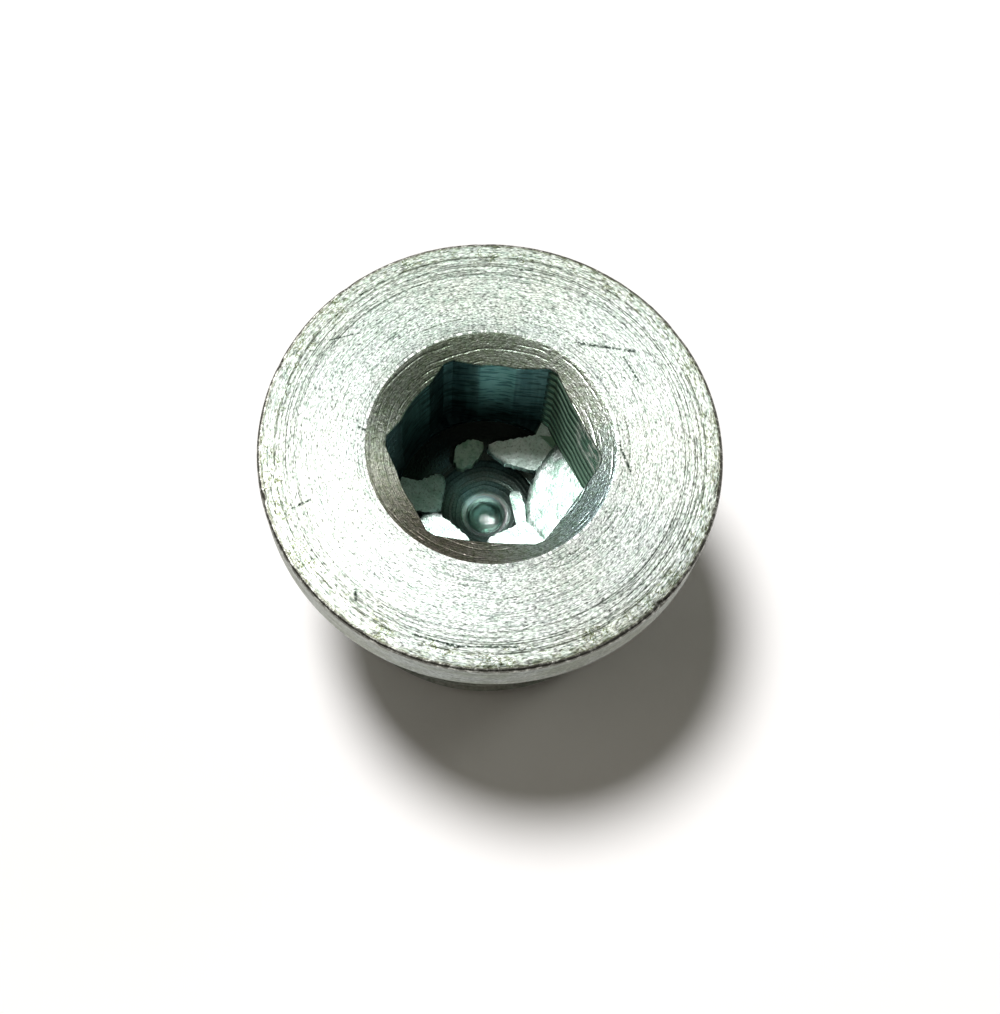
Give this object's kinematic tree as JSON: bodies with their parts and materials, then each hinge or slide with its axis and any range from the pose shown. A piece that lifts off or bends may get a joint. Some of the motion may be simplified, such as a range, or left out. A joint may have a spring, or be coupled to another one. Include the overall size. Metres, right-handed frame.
{
  "type": "collared screw plug",
  "caption": "Round collared screw plug with a short fine-threaded shank and a countersunk, broached hexagon socket in its flat top face.",
  "frame": {"origin": "centre of the shank's flat end face, which the plug stands on", "axes": "+Z along the plug's axis, out of the socket; +X towards a corner of the hexagon socket"},
  "size_m": [0.029, 0.029, 0.0162],
  "materials": {
    "plated_steel": "turned steel with bright zinc plating"
  },
  "bodies": {
    "root": {"plug": "plated_steel"}
  },
  "joints": []
}
